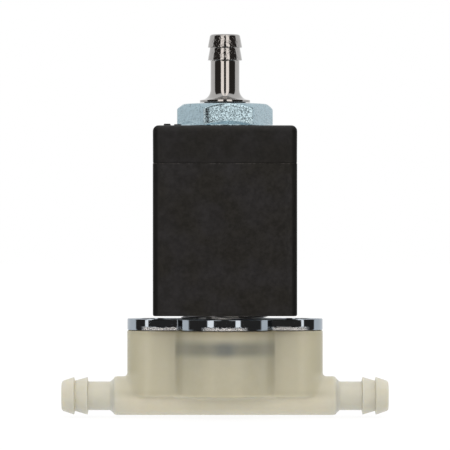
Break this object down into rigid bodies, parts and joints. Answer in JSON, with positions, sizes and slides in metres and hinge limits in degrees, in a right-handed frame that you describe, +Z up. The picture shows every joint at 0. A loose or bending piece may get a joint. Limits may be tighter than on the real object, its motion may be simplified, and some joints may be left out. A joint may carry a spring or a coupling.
{
  "type": "solenoid valve",
  "caption": "Three-way solenoid valve: moulded body with inline hose barbs, steel flange plate, square plug-in coil held by a hex nut, and a metal exhaust hose barb on top.",
  "frame": {"origin": "on the narrow flat under the flow bar, on the plunger's axis", "axes": "+Z up the guide tube to the exhaust hose barb, X along the two body hose barbs with the outlet at +X, the coil's plug face towards +Y"},
  "size_m": [0.07, 0.0472, 0.0815],
  "materials": {
    "valve_plastic": "translucent ivory moulding with a soft gloss",
    "coil_plastic": "matte black moulding",
    "plate_steel": "bright plated, punched edge",
    "zinc_steel": "zinc plated",
    "nickel": "nickel plated, turned",
    "core_steel": "fine turned stainless steel",
    "spring_steel": "drawn wire",
    "yoke_steel": "rolled and plated sheet",
    "copper": "copper, enamelled where it is wound",
    "brass": "turned brass",
    "tin": "tinned blade",
    "bobbin_nylon": "natural glass-filled nylon",
    "seal_rubber": "black moulded rubber"
  },
  "bodies": {
    "base": {"valve_body": "valve_plastic", "flange_plate": "plate_steel", "flange_screw_left": "zinc_steel", "flange_screw_right": "zinc_steel", "body_o_ring": "seal_rubber", "guide_tube": "core_steel", "fixed_core": "core_steel", "shading_ring": "copper", "return_spring": "spring_steel", "coil_spring_washer": "spring_steel", "coil_nut": "zinc_steel", "exhaust_hose_barb": "nickel", "exhaust_gasket": "seal_rubber"},
    "armature": {"plunger": "core_steel", "lower_seat_seal": "seal_rubber", "upper_seal_spring": "spring_steel"},
    "exhaust_seal": {"upper_seat_seal": "seal_rubber"},
    "coil": {"coil_case": "coil_plastic", "coil_bobbin": "bobbin_nylon", "coil_winding": "copper", "yoke_frame": "yoke_steel", "yoke_plate": "yoke_steel", "terminal_left": "tin", "terminal_right": "tin", "ground_terminal": "tin", "plug_screw_insert": "brass"}
  },
  "joints": [
    {"name": "plunger_slide", "type": "slide", "parent": "base", "child": "armature", "axis": [0, 0, 1], "range_m": [0, 0.0012], "stiffness_N_per_m": 500, "springref_m": -0.004, "deforming": ["return_spring"]},
    {"name": "exhaust_seal_slide", "type": "slide", "parent": "armature", "child": "exhaust_seal", "axis": [0, 0, -1], "range_m": [0, 0.0004], "stiffness_N_per_m": 800, "springref_m": -0.0006, "deforming": ["upper_seal_spring"]},
    {"name": "coil_swivel", "type": "hinge", "parent": "base", "child": "coil", "pos_m": [0, 0, 0.0416], "axis": [0, 0, 1], "continuous": true}
  ]
}
